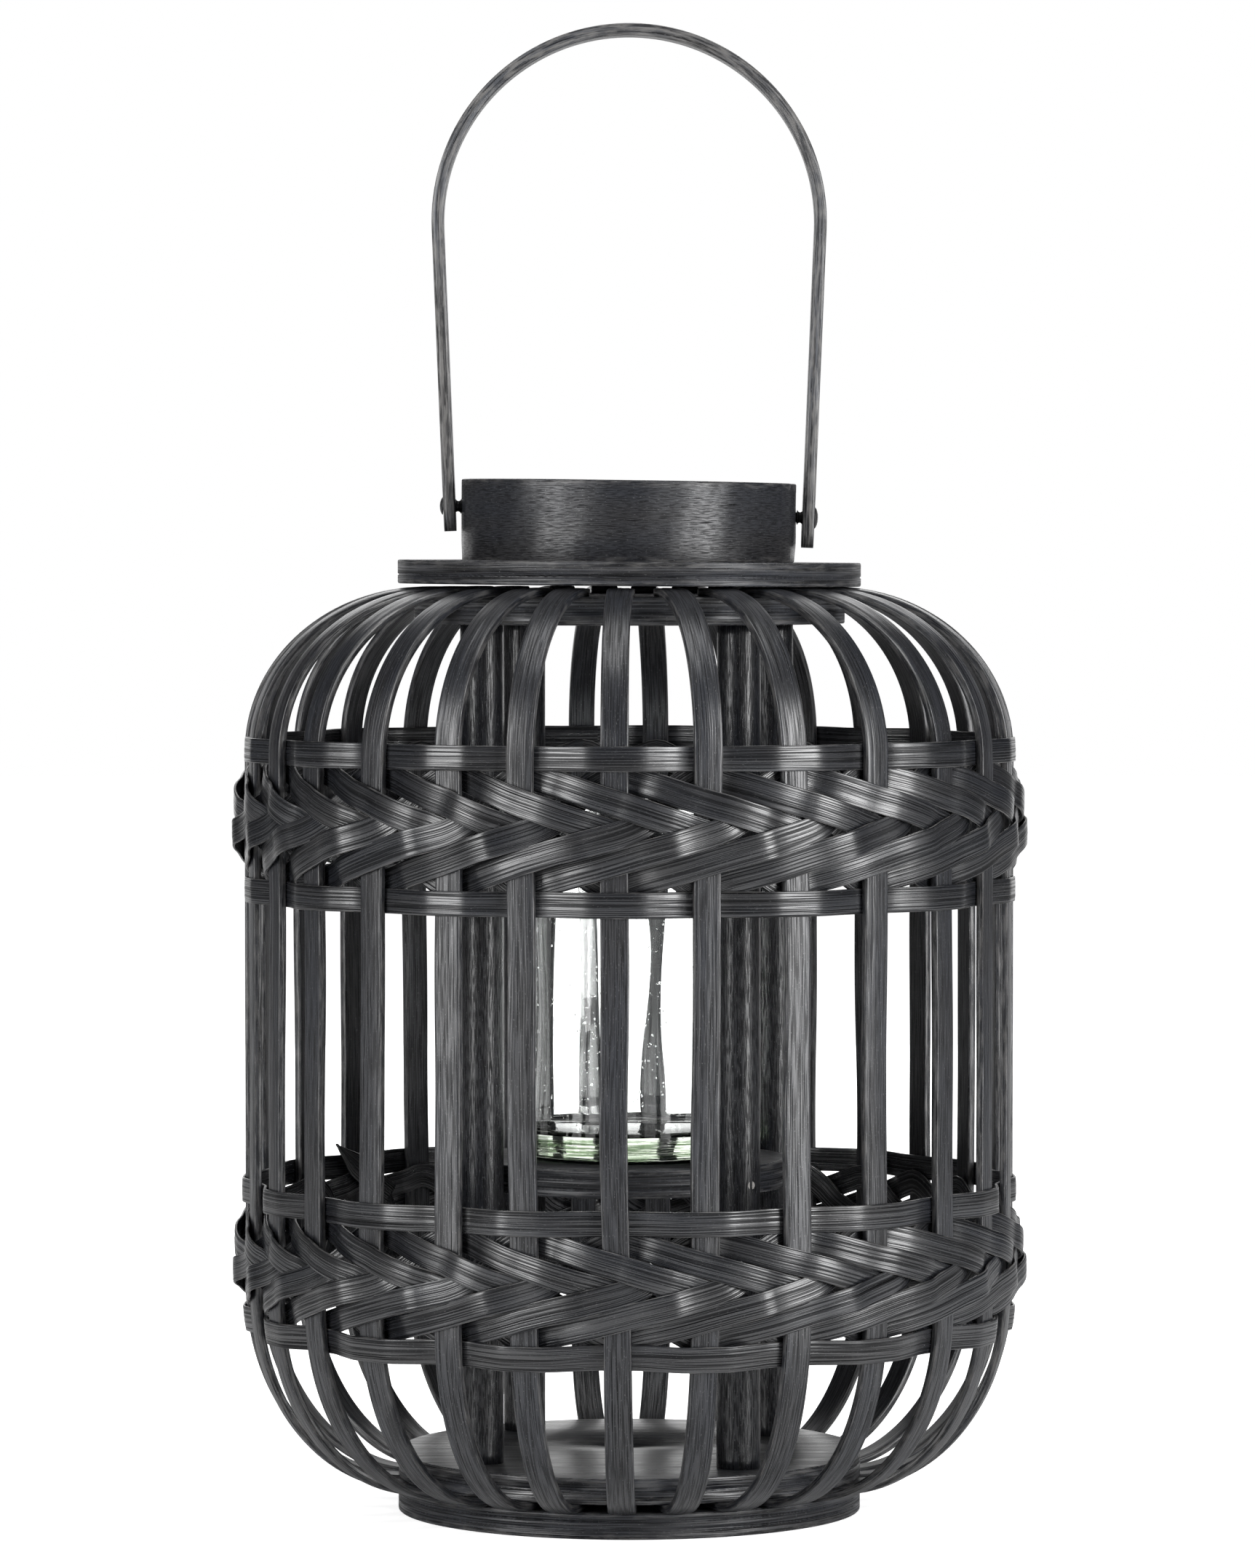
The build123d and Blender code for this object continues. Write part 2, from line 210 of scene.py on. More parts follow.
def strip_outline(width, thickness, rng, lines, crown, ridge, corner):
    """The section of a strip: (across, outward, ridge height, worn) for each point round it, where worn
    marks the edges that are lightened as wear and, on the woven strips, as a painted highlight.
    """
    flat = width / 2 - corner

    def edge(sign, turns):
        for turn in turns:
            side, up = math.cos(math.radians(turn)), math.sin(math.radians(turn))
            rise = thickness / 2 - corner - (crown if up > 0 else 0)
            out = (rise if up > 0 else -rise) + corner * up
            yield sign * (flat + corner * side), out, 0, 1

    points = []
    for across in np.linspace(-flat, flat, lines):
        sag = crown * (2 * across / width) ** 2
        points.append((across, thickness / 2 - sag, ridge * rng.uniform(-1, 1), 0))
    points += edge(1, (60, 20, -20, -60))
    for across in np.linspace(flat, -flat, max(4, lines // 3)):
        points.append((across, -thickness / 2, ridge * rng.uniform(-0.6, 0.6), 0))
    points += edge(-1, (-60, -20, 20, 60))
    return np.array(points)


def strip(name, middle, outward, width, thickness, seed, material, closed,
          lines=15, crown=0.00018, ridge=0.00006, corner=0.0003, wander=0.03, widths=None):
    """A split bamboo strip along a line of points, with raised fibres and an uneven width."""
    rng = random.Random(seed)
    noise = np.random.default_rng(seed)
    if closed:
        ahead = np.roll(middle, -1, 0) - np.roll(middle, 1, 0)
        along = lengths(np.concatenate([middle, middle[:1]]))
    else:
        ahead = np.gradient(middle, axis=0)
        along = lengths(middle)
    side = unit(np.cross(outward, unit(ahead)))
    at = along[: len(middle)]
    outline = strip_outline(width, thickness, rng, lines, crown, ridge, corner)
    scale = 1 + wander * waves(rng, at, WIDTH_PITCH)
    if closed:
        ease = np.minimum(1, np.minimum(at, at[-1] - at) / JOIN_LENGTH)
        scale = 1 + (scale - 1) * ease
    if widths is not None:
        scale = scale * widths
    swell = 1 + 0.5 * np.sin(at[:, None] / FIBRE_PITCH + noise.uniform(0, 6, len(outline)))
    fibres = outline[None, :, 2] * swell
    across = outline[None, :, 0] * scale[:, None]
    out = outline[None, :, 1] + fibres
    rings = middle[:, None] + side[:, None] * across[..., None] + outward[:, None] * out[..., None]
    loop = np.concatenate([outline[:, :2], outline[:1, :2]])
    around = lengths(loop) + rng.uniform(0, GRAIN_SHIFT)
    along = along + rng.uniform(0, GRAIN_SHIFT)
    return skin(name, rings, along, around, closed, material, outline[None, :, 3])


# ---------------------------------------------------------------- ribs

def belly_at(height):
    """The radius of the ribs' outer face at a height."""
    foot_end = BASE_TOP + FOOT_BEND_HEIGHT
    shoulder = PLATE_UNDER - SHOULDER_BEND_HEIGHT
    low = np.clip((foot_end - height) / FOOT_BEND_HEIGHT, 0, 1)
    high = np.clip((height - shoulder) / SHOULDER_BEND_HEIGHT, 0, 1)
    foot = FOOT_BEND_RADIUS + (BARREL_RADIUS - FOOT_BEND_RADIUS) * np.sqrt(1 - low**2)
    top = SHOULDER_BEND_RADIUS + (BARREL_RADIUS - SHOULDER_BEND_RADIUS) * np.sqrt(1 - high**2)
    return np.minimum(foot, top)


def quarter(centre, reach, rise, start, steps):
    """A quarter of an ellipse as (radius, height), from a start angle."""
    turns = np.radians(np.linspace(start, start + 90, steps))
    return np.stack([centre[0] + reach * np.cos(turns), centre[1] + rise * np.sin(turns)], -1)


def rib_course():
    """A rib's middle line as (radius, height), from its foot tongue to its shoulder tongue."""
    half = RIB_THICKNESS / 2
    reach = BARREL_RADIUS - half
    foot = (FOOT_BEND_RADIUS, BASE_TOP + FOOT_BEND_HEIGHT)
    top = (SHOULDER_BEND_RADIUS, PLATE_UNDER - SHOULDER_BEND_HEIGHT)
    low = quarter(foot, reach - foot[0], FOOT_BEND_HEIGHT - half, 270, 34)
    high = quarter(top, reach - top[0], SHOULDER_BEND_HEIGHT - half, 0, 34)
    start = np.stack([np.linspace(TONGUE_RADIUS, foot[0], 5)[:-1], np.full(4, low[0, 1])], -1)
    side = np.linspace(low[-1], high[0], 60)[1:-1]
    end = np.stack([np.linspace(top[0], TONGUE_RADIUS, 4)[1:], np.full(3, high[-1, 1])], -1)
    return np.concatenate([start, low, side, high, end])


# how far each rib leans towards the right from its foot to its shoulder, in degrees round the barrel
RIB_LEANS = {9: 0.6, 10: -0.8, 12: 0.5, 14: -0.7, 16: -0.8, 18: -1.3, 19: -0.9, 20: 0.6}


def make_rib(number, angle, material):
    """A bent rib with a lean and a slight sway round the barrel."""
    rng = random.Random(100 + number)
    course = rib_course()
    slope = unit(np.gradient(course, axis=0))
    radius, height = course[:, 0], course[:, 1]
    along = lengths(course)
    share = height / PLATE_UNDER - 0.5
    lean = RIB_LEANS.get(number, rng.uniform(-0.5, 0.5))
    sway = 0.0006 * waves(rng, along, 0.3)
    turn = angle + lean * share + np.degrees(sway / BARREL_RADIUS)
    middle = polar(radius, turn, height)
    # the outward side is square to the course, in the rib's own upright plane
    outward = polar(slope[:, 1], turn, 0) - np.array([0, 0, 1]) * slope[:, :1]
    rib = strip(f"bent_rib_{number:02d}", middle, unit(outward), RIB_WIDTH, RIB_THICKNESS,
                200 + number, material, False, lines=16, crown=0.0002, ridge=0.00007, corner=0.0005)
    return place(rib, FRAME_BODY, "bamboo_strip", f"rib_{number:02d}")


# ---------------------------------------------------------------- woven bands

STEPS_PER_RIB = 14
BELLY_STEP = 0.001  # metres up and down, over which the barrel's slope is taken


def layer_offset(layer):
    """From the ribs' outer face to a strip's middle: layer 1 lies on the ribs, -1 behind them."""
    step = STRIP_THICKNESS + STRIP_GAP
    on_top = step - STRIP_THICKNESS / 2
    behind = STRIP_THICKNESS / 2 - step - RIB_THICKNESS
    if layer >= 1:
        return on_top + (layer - 1) * step
    if layer <= -1:
        return behind + (layer + 1) * step
    return behind + (on_top - behind) * (layer + 1) / 2


def angle_at(place_on_band):
    """The angle at a place counted in ribs, so 2.5 is midway between ribs 2 and 3."""
    angles = np.array(RIB_ANGLES + (RIB_ANGLES[0] + 360,))
    whole = np.floor(place_on_band).astype(int)
    turns, rib = whole // RIB_COUNT, whole % RIB_COUNT
    share = place_on_band - whole
    return angles[rib] + (angles[rib + 1] - angles[rib]) * share + 360 * turns


def smooth(at, values, samples):
    """A curve through values at uneven places that neither overshoots nor kinks."""
    steps = np.diff(at)
    slopes = np.diff(values) / steps
    before, after = slopes[:-1], slopes[1:]
    weight = (steps[:-1] + 2 * steps[1:], 2 * steps[:-1] + steps[1:])
    with np.errstate(divide="ignore", invalid="ignore"):
        mean = (weight[0] + weight[1]) / (weight[0] / before + weight[1] / after)
    tangent = np.zeros_like(values)
    tangent[1:-1] = np.where(before * after > 0, mean, 0)
    spot = np.clip(np.searchsorted(at, samples, side="right") - 1, 0, len(steps) - 1)
    t = (samples - at[spot]) / steps[spot]
    width = steps[spot]
    return (
        (2 * t**3 - 3 * t**2 + 1) * values[spot]
        + (t**3 - 2 * t**2 + t) * width * tangent[spot]
        + (3 * t**2 - 2 * t**3) * values[spot + 1]
        + (t**3 - t**2) * width * tangent[spot + 1]
    )


def woven(name, path, length, width, seed, material):
    """A closed strip through (place, layer, height), where length is the ribs it passes in all."""
    rows = np.array([(spot, layer_offset(layer), height) for spot, layer, height in path])
    margin = 12
    before, after = rows[-margin:].copy(), rows[:margin].copy()
    before[:, 0] -= length
    after[:, 0] += length
    rows = np.concatenate([before, rows, after])
    spots = path[0][0] + np.arange(length * STEPS_PER_RIB) / STEPS_PER_RIB
    offset = smooth(rows[:, 0], rows[:, 1], spots)
    height = smooth(rows[:, 0], rows[:, 2], spots)
    turn = angle_at(spots)
    rise = (belly_at(height + BELLY_STEP) - belly_at(height - BELLY_STEP)) / (2 * BELLY_STEP)
    outward = unit(polar(np.ones_like(turn), turn, 0) - np.array([0, 0, 1]) * rise[:, None])
    middle = polar(belly_at(height), turn, height) + outward * offset[:, None]
    return strip(name, middle, outward, width, STRIP_THICKNESS, seed, material, True,
                 lines=12, crown=0.00012, ridge=0.00005)


def hoop_path(height, first_layer):
    """A hoop's course, which goes in front of one rib and behind the next."""
    path = []
    for rib in range(RIB_COUNT):
        layer = first_layer if rib % 2 else -first_layer
        path.append((rib - RIB_EDGE, layer, height))
        path.append((rib, layer, height))
        path.append((rib + RIB_EDGE, layer, height))
        path.append((rib + 0.5, 0, height))
    return path


# one weaver's course over six ribs: (ribs on, layer, height as a share of the topmost)
WEAVE_COURSE = (
    (0.0, -2, 1.0), (0.2, -2, 0.91), (0.5, 0, 0.77), (0.8, 1, 0.61),
    (1.0, 1.5, 0.51), (1.2, 2.9, 0.41), (1.4, 3.3, 0.3), (1.6, 2.9, 0.19), (1.8, 1.2, 0.08),
    (2.0, 1, -0.03), (2.2, 0.95, -0.14), (2.35, 0.2, -0.26), (2.5, -0.9, -0.46), (2.7, -1.8, -0.78),
    (3.0, -2, -1.0), (3.2, -2, -0.91), (3.5, 0, -0.77), (3.8, 1, -0.63),
    (4.0, 1.5, -0.53), (4.2, 2.2, -0.43), (4.4, 3.5, -0.33), (4.6, 4.1, -0.24), (4.8, 2.7, -0.15),
    (5.0, 2, -0.06), (5.2, 1.9, 0.06), (5.35, 0.9, 0.2), (5.5, -0.7, 0.44), (5.7, -1.8, 0.77),
)
COURSE_RIBS = 6
WEAVER_ROUNDS = 3


def weaver_path(first_rib, band_height, hoop_offset):
    """A weaver's course, several times round the barrel."""
    reach = hoop_offset - WEAVER_INSET
    path = []
    for course in range(RIB_COUNT * WEAVER_ROUNDS // COURSE_RIBS):
        for ribs_on, layer, share in WEAVE_COURSE:
            spot = first_rib + course * COURSE_RIBS + ribs_on
            path.append((spot, layer, band_height + share * reach))
    return path


def make_band(name, band, material, seed):
    """Two hoops with two long weavers between them."""
    for side, sign in (("top", 1), ("bottom", -1)):
        path = hoop_path(band["height"] + sign * band["offset"], band["first_layer"])
        hoop = woven(f"{name}_{side}_hoop_strip", path, RIB_COUNT, HOOP_WIDTH, seed + sign, material)
        place(hoop, FRAME_BODY, "woven_strip", f"{name}_band_{side}_hoop")
    for number in (1, 2):
        path = weaver_path(number - 1, band["height"], band["offset"])
        weaver = woven(f"{name}_weaver_strip_{number}", path, RIB_COUNT * WEAVER_ROUNDS,
                       band["width"], seed + 10 + number, material)
        place(weaver, FRAME_BODY, "woven_strip", f"{name}_band_weaver_{number}")


def make_loose_end(material):
    """The pointed end of a weaver that stands up behind the lower band at the back left."""
    low, rise_in_all, first_turn, turn_in_all = 0.106, 0.0215, -137.0, 14.2
    behind, lean_in, width, thickness = 0.0044, 0.002, 0.0088, 0.0009
    share = np.linspace(0, 1, 24)
    height = low + rise_in_all * share
    turn = first_turn + turn_in_all * share
    middle = polar(BARREL_RADIUS - RIB_THICKNESS - behind - lean_in * share**2, turn, height)
    outward = polar(np.ones_like(turn), turn, 0.0)
    widths = np.clip(2.6 * (1 - share), 0.08, 1)
    end = strip("loose_strip_end", middle, outward, width, thickness, 911, material, False,
                lines=12, crown=0.0001, ridge=0.00004, widths=widths)
    return place(end, FRAME_BODY, "woven_strip")


# ---------------------------------------------------------------- turned and bent pieces

def rounded_line(corners, bevels, steps=4):
    """A closed (radius, height, worn) outline with each corner rounded by its bevel."""
    points = []
    count = len(corners)
    for number, corner in enumerate(corners):
        corner = np.array(corner, float)
        before = np.array(corners[number - 1], float)
        after = np.array(corners[(number + 1) % count], float)
        bevel = bevels[number]
        if bevel == 0:
            points.append((*corner, 0))
            continue
        start = corner + unit(before - corner) * bevel
        end = corner + unit(after - corner) * bevel
        for t in np.linspace(0, 1, steps):
            point = (1 - t) ** 2 * start + 2 * t * (1 - t) * corner + t**2 * end
            points.append((*point, 1))
    return np.array(points)


def relay_grain(piece, seed):
    """Puts the grain straight across the flat faces, and round the edges of a turned piece."""
    mesh = piece.data
    layer = mesh.uv_layers["grain"].data
    for polygon in mesh.polygons:
        flat = abs(polygon.normal.z) > 0.7
        for loop in polygon.loop_indices:
            point = mesh.vertices[mesh.loops[loop].vertex_index].co
            around = layer[loop].uv[1]
            spot = (point.x, point.y) if flat else (around, point.z)
            layer[loop].uv = (spot[0] + seed * 0.37, spot[1] + seed * 0.61)


def turned(name, outline, segments, material, wobble=None, seed=0, seam=180.0):
    """A board or ring from a closed outline, whose mesh starts at the seam."""
    turns = seam + np.linspace(0, 360, segments, endpoint=False)
    radius = outline[:, 0][:, None] + 0 * turns[None]
    height = outline[:, 1][:, None] + 0 * turns[None]
    if wobble is not None:
        radius, height = wobble(radius, height, turns[None])
    rings = polar(radius, turns[None] + 0 * radius, height)
    around = np.radians(np.linspace(0, 360, segments + 1)) * outline[:, 0].max()
    loop = np.concatenate([outline[:, :2], outline[:1, :2]])
    along = lengths(loop) + seed * 0.731
    piece = skin(name, rings, along, around, True, material, outline[:, 2][:, None])
    relay_grain(piece, seed)
    return piece


def board_outline(inner, outer, low, high, seams, bevel=0.0007, groove=0.0004):
    """A board's section, with a groove round its edge at each seam, a share of the way down."""
    corners = [(inner, high), (outer, high)]
    bevels = [bevel if inner > 0.001 else 0, bevel]
    for share in seams:
        seam = high - (high - low) * share
        corners += [(outer, seam + groove), (outer - groove, seam + 0.4 * groove)]
        corners += [(outer - groove, seam - 0.4 * groove), (outer, seam - groove)]
        bevels += [0, 0, 0, 0]
    corners += [(outer, low), (inner, low)]
    bevels += [bevel, bevel if inner > 0.001 else 0]
    return rounded_line(corners, bevels)


def uneven_edge(seed, amount, inner, outer, step=None, warp=0.0):
    """A hand-cut outline: the rim wanders in and out a little and the faces stay flat.

    A step is (height, start, end, depth): below the height the rim is cut back between two angles.
    A warp raises the left of the board by that much and leaves the right where it is.
    """
    rng = random.Random(seed)
    phases = [rng.uniform(0, ANY_PHASE) for _ in range(6)]

    def wobble(radius, height, turns):
        wander = 0
        for n, phase in enumerate(phases):
            lobes = np.sin(np.radians(turns) * (n + 2) + phase)
            wander = wander + math.sin(1.7 * n) * lobes / (n + 1)
        share = np.clip((radius - inner) / (outer - inner), 0, 1)
        if step is not None:
            below, start, end, depth = step
            cut = (height < below) & ((turns - start) % 360 < end - start)
            radius = radius - depth * cut * share**8
        raised = warp * (1 - np.sin(np.radians(turns))) / 2
        return radius - amount * (1 + wander) * share, height + raised

    return wobble


def make_board(seed, name, node, inner, seams, material, step=None, warp=0.0):
    """A board as large as its CAD node, with ply seams at shares of the way down its edge."""
    low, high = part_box(node)
    outline = board_outline(inner, high.x, low.z, high.z, seams)
    wobble = uneven_edge(seed, RIM_WANDER, inner, high.x, step, warp)
    piece = turned(name, outline, 192, material, wobble, seed)
    place(piece, FRAME_BODY, "bamboo_board", node)


def make_boards(material, floor_material):
    plate_seam = 0.62
    step_height = PLATE_TOP - plate_seam * (PLATE_TOP - PLATE_UNDER)
    step = (step_height, -64, 12.7, 0.0006)
    make_board(1, "lower_base_board", "base_disc", PIN_HOLE, (0.3, 0.62), material)
    make_board(2, "lantern_floor_board", "floor_disc", PIN_HOLE, (0.48,), floor_material)
    make_board(3, "cup_shelf_board", "shelf_disc", PIN_HOLE, (0.36, 0.7), material)
    make_board(4, "shoulder_ring_board", "top_ring", MOUTH_RADIUS, (0.5,), material)
    make_board(5, "top_plate_board", "top_plate", MOUTH_RADIUS, (plate_seam,), material, step, 0.0013)


def make_post(number, angle, material):
    """A dowel with a slow swell along it and three faint flats round it."""
    rng = random.Random(40 + number)
    height = np.linspace(FLOOR_TOP, RING_UNDER, 90)
    turns = np.linspace(0, 360, 40, endpoint=False)
    swell = 1 - 0.012 * (1 + waves(rng, height, 0.12))
    flats = 1 - 0.01 * (1 + np.cos(np.radians(turns * 3) + rng.uniform(0, 6)))
    radius = POST_RADIUS * swell[:, None] * flats[None]
    middle = polar(POST_CIRCLE_RADIUS, angle, 0)
    rings = polar(radius, turns[None] + 0 * radius, height[:, None] + 0 * radius) + middle
    around = np.concatenate([np.radians(turns), [2 * math.pi]]) * POST_RADIUS + number * 0.53
    post = skin(f"round_post_{number}", rings, height + number * 0.41, around, False, material)
    return place(post, FRAME_BODY, "bamboo_dowel", f"post_{number}")


def make_collar(material):
    """A bent hoop whose outer end laps over at the right; its top edge tips down to the right."""
    corners = [(MOUTH_RADIUS, COLLAR_TOP), (COLLAR_RADIUS, COLLAR_TOP)]
    corners += [(COLLAR_RADIUS, PLATE_TOP), (MOUTH_RADIUS, PLATE_TOP)]
    bevel = 0.0007
    outline = rounded_line(corners, [0.0008, bevel, bevel, 0.0004])
    top_half = len(outline) // 2
    heights = np.linspace(COLLAR_TOP - bevel, PLATE_TOP + bevel, 14)[1:-1]
    side = [(COLLAR_RADIUS, height, 0) for height in heights]
    outline = np.concatenate([outline[:top_half], side, outline[top_half:]])
    rng = random.Random(71)
    phase = [rng.uniform(0, ANY_PHASE) for _ in range(3)]
    lap_turn, lap_depth, worn_depth, tip = 45, 0.0005, 0.0009, 0.0009

    def wobble(radius, height, turns):
        turn = np.radians(turns)
        outer = (radius > (MOUTH_RADIUS + COLLAR_RADIUS) / 2).astype(float)
        past = (turns - COLLAR_LAP) % 360
        lap = np.where(past < lap_turn, lap_depth * (1 - past / lap_turn), 0)
        share = (height - PLATE_TOP) / (COLLAR_TOP - PLATE_TOP)
        low_edge = np.exp(-(share / 0.16) ** 2)
        worn = worn_depth * low_edge * (0.5 + 0.5 * np.sin(turn * 3 + phase[0]))
        ripple = 0.00012 * np.sin(turn * 11 + phase[1] + 2 * share)
        ripple = ripple + 0.00008 * np.sin(turn * 23 + phase[2] - 5 * share)
        crest = tip * (1 + np.sin(turn)) * (share > 0.9)
        return radius - outer * (lap + worn + ripple), height - crest

    piece = turned("bent_collar_hoop", outline, 288, material, wobble, 9, COLLAR_LAP)
    return place(piece, FRAME_BODY, "bent_collar", "collar")


def leg_course(radius, end):
    """A leg's middle line as (x, height), from its end up to the arch, with fine steps at the end."""
    touch = (radius * math.cos(LEG_LEAN), ARCH_CENTRE - radius * math.sin(LEG_LEAN))
    foot = (radius - (ARCH_CENTRE - end) * math.sin(LEG_LEAN)) / math.cos(LEG_LEAN)
    fine = np.linspace(0, LEG_END_ROUNDING, 8)[1:] / (touch[1] - end)
    steps = np.concatenate([[0], fine, np.linspace(fine[-1], 1, 40)[1:]])
    return np.stack([foot + (touch[0] - foot) * steps, end + (touch[1] - end) * steps], -1)


def make_handle(material):
    """One bent strip: a leg, the arch and the other leg, with rounded ends."""
    fibre_room = 0.00005
    radius = ARCH_RADIUS - HANDLE_THICKNESS / 2 - fibre_room
    turns = np.linspace(-LEG_LEAN, math.pi + LEG_LEAN, 80)[1:-1]
    arch = np.stack([radius * np.cos(turns), ARCH_CENTRE + radius * np.sin(turns)], -1)
    right, left = leg_course(radius, RIGHT_LEG_END), leg_course(radius, LEFT_LEG_END)
    course = np.concatenate([right, arch, left[::-1] * [-1, 1]])
    along = lengths(course)
    middle = np.stack([course[:, 0], 0 * along, course[:, 1]], -1)
    slope = unit(np.gradient(course, axis=0))
    outward = np.stack([slope[:, 1], 0 * along, -slope[:, 0]], -1)
    near_end = np.minimum(along, along[-1] - along)
    short = np.clip(LEG_END_ROUNDING - near_end, 0, LEG_END_ROUNDING)
    narrow = LEG_END_ROUNDING - np.sqrt(LEG_END_ROUNDING**2 - short**2)
    widths = 1 - 2 * narrow / HANDLE_WIDTH
    piece = strip("bail_handle_strip", middle, outward, HANDLE_WIDTH, HANDLE_THICKNESS,
                  77, material, False, lines=18, crown=0.0001, ridge=0.00003, corner=0.0005,
                  wander=0.01, widths=widths)
    return place(piece, "handle", "handle_strip", "handle")


def make_rivet(side, name, head, material):
    """A domed head outside the leg, a flared shank across the gap, and a flat head inside the collar."""
    face = ARCH_RADIUS - (ARCH_CENTRE - PIVOT_HEIGHT) * math.sin(LEG_LEAN)
    reach = face / math.cos(LEG_LEAN - side * PIVOT_TILT) + 0.0001
    leg, inner, shank = reach - HANDLE_THICKNESS, MOUTH_RADIUS - 0.00115, 0.0018
    profile = np.array([
        (0.00001, reach + 0.0012), (0.35 * head, reach + 0.00112), (0.63 * head, reach + 0.00088),
        (0.86 * head, reach + 0.0005), (head, reach + 0.00012), (head, reach - 0.00008),
        (shank, reach - 0.00008), (shank, leg), (0.0027, leg - 0.0001), (0.0021, leg - 0.0006),
        (0.0019, (leg + COLLAR_RADIUS) / 2), (0.0021, COLLAR_RADIUS + 0.0006),
        (0.0028, COLLAR_RADIUS + 0.0001), (shank, COLLAR_RADIUS - 0.0002), (shank, inner + 0.001),
        (0.0033, inner + 0.001), (0.0034, inner + 0.0006), (0.003, inner + 0.0002), (0.00001, inner),
    ])
    turns = np.radians(np.linspace(0, 360, 36, endpoint=False))
    away = side * profile[:, 1][:, None] + 0 * turns[None]
    sideways = side * profile[:, 0][:, None] * np.cos(turns)[None]
    up = profile[:, 0][:, None] * np.sin(turns)[None]
    x = away * math.cos(PIVOT_TILT) + up * math.sin(PIVOT_TILT)
    z = PIVOT_HEIGHT - away * math.sin(PIVOT_TILT) + up * math.cos(PIVOT_TILT)
    rings = np.stack([x, sideways, z], -1)
    rivet = skin(f"domed_{name}", rings, lengths(profile), np.linspace(0, 0.02, 37), False, material)
    return place(rivet, FRAME_BODY, "rivet", name)


def make_glass(material):
    """A pressed glass cup with a thick base and slightly wavy walls."""
    rng = random.Random(31)
    low, high = SHELF_TOP, SHELF_TOP + GLASS_HEIGHT
    inner, floor = GLASS_RADIUS - GLASS_WALL, SHELF_TOP + GLASS_BASE
    inner_depth, outer_depth = 0.00020, 0.00006
    outer_side = [(GLASS_RADIUS, z) for z in np.linspace(low + 0.004, high - 0.002, 40)]
    inner_side = [(inner, z) for z in np.linspace(high - 0.002, floor + 0.004, 40)]
    base = [(0.0005, low), (0.02, low), (0.034, low), (0.0385, low + 0.0002)]
    base += [(0.0405, low + 0.0012), (0.0416, low + 0.0025)]
    lip = [(GLASS_RADIUS - 0.0004, high - 0.0007), (GLASS_RADIUS - GLASS_WALL / 2, high)]
    lip += [(inner + 0.0004, high - 0.0007)]
    bottom = [(inner - 0.0004, floor + 0.0022), (inner - 0.0016, floor + 0.0009)]
    bottom += [(inner - 0.004, floor + 0.0002), (0.03, floor)]
    bottom += [(0.015, floor + 0.0001), (0.0005, floor + 0.0002)]
    profile = np.array(base + outer_side + lip + inner_side + bottom)
    turns = np.linspace(0, 360, 128, endpoint=False)
    radius = profile[:, 0][:, None] + 0 * turns[None]
    height = profile[:, 1][:, None] + 0 * turns[None]
    turn = np.radians(turns)[None]
    ripple = np.zeros_like(radius)
    for number in range(7):
        lobes = 2 + number * 2
        pitch = rng.choice((-1, 1)) * rng.uniform(0.06, 0.26)
        climb = height / pitch * 2 * math.pi
        ripple += np.sin(lobes * turn + climb + rng.uniform(0, 6)) / (1 + 0.4 * number)
    deep = (radius > 0.03) & (radius <= inner + 1e-6) & (height > floor + 0.002)
    radius = radius - np.where(deep, inner_depth * (1 + ripple / 2), 0)
    outer_ripple = 1 + np.roll(ripple, 17, 1) / 2
    radius = radius - (radius >= GLASS_RADIUS - 1e-4) * outer_depth * outer_ripple
    rings = polar(radius, turns[None] + 0 * radius, height)
    around = np.concatenate([turns, [360]]) / 360
    cup = skin("candle_cup_glass", rings[::-1], lengths(profile), around, False, material)
    return place(cup, "glass", "clear_glass", "glass_cup")


# ---------------------------------------------------------------- materials

# Pale tone for rubbed edges: real wear, and on the woven strips also a painted highlight standing in for
# glints along the strips' edges.
WORN_EDGE_AND_GLINT_TONE = (0.17, 0.165, 0.16)
PALE_SPECK = (0.155, 0.155, 0.16)
COOL_TINT, WARM_TINT = (0.93, 0.98, 1.07), (1.08, 1.01, 0.93)
FIBRE_HEIGHT = 0.0002


def new_material(name):
    material = bpy.data.materials.new(name)
    material.use_nodes = True
    tree = material.node_tree
    return material, tree, tree.nodes["Principled BSDF"]


def add(tree, kind, **values):
    node = tree.nodes.new(kind)
    for key, value in values.items():
        setattr(node, key, value)
    return node


def stretched_noise(tree, source, scale, detail=3.0, rough=0.55):
    """Noise of (lines a metre along the grain, lines a metre across it), or along X, Y and Z."""
    mapping = add(tree, "ShaderNodeMapping")
    mapping.inputs["Scale"].default_value = (*scale, 1)[:3]
    tree.links.new(source, mapping.inputs["Vector"])
    noise = add(tree, "ShaderNodeTexNoise")
    noise.inputs["Scale"].default_value = 1
    noise.inputs["Detail"].default_value = detail
    noise.inputs["Roughness"].default_value = rough
    tree.links.new(mapping.outputs["Vector"], noise.inputs["Vector"])
    return noise.outputs["Fac"]


def scaled(tree, factor, low, high, start=0.0, end=1.0):
    """The factor stretched to run from low at start to high at end."""
    node = add(tree, "ShaderNodeMapRange")
    for name, value in (("From Min", start), ("From Max", end), ("To Min", low), ("To Max", high)):
        node.inputs[name].default_value = value
    tree.links.new(factor, node.inputs["Value"])
    return node.outputs[0]


def ramp(tree, source, stops):
    """A colour ramp through (place, grey or colour) stops."""
    node = add(tree, "ShaderNodeValToRGB")
    while len(node.color_ramp.elements) < len(stops):
        node.color_ramp.elements.new(0.5)
    for element, (spot, value) in zip(node.color_ramp.elements, stops):
        element.position = spot
        element.color = (*value, 1) if isinstance(value, tuple) else (value, value, value, 1)
    tree.links.new(source, node.inputs["Fac"])
    return node.outputs["Color"]


def mixed(tree, factor, first, second, mode="MIX"):
    """Two colours mixed; a Mix node has its factor at input 0 and its colours at inputs 6 and 7."""
    node = add(tree, "ShaderNodeMix", data_type="RGBA", blend_type=mode)
    for socket, value in ((node.inputs[0], factor), (node.inputs[6], first), (node.inputs[7], second)):
        if isinstance(value, (float, int)):
            socket.default_value = value
        elif isinstance(value, tuple):
            socket.default_value = (*value, 1)
        else:
            tree.links.new(value, socket)
    return node.outputs[2]


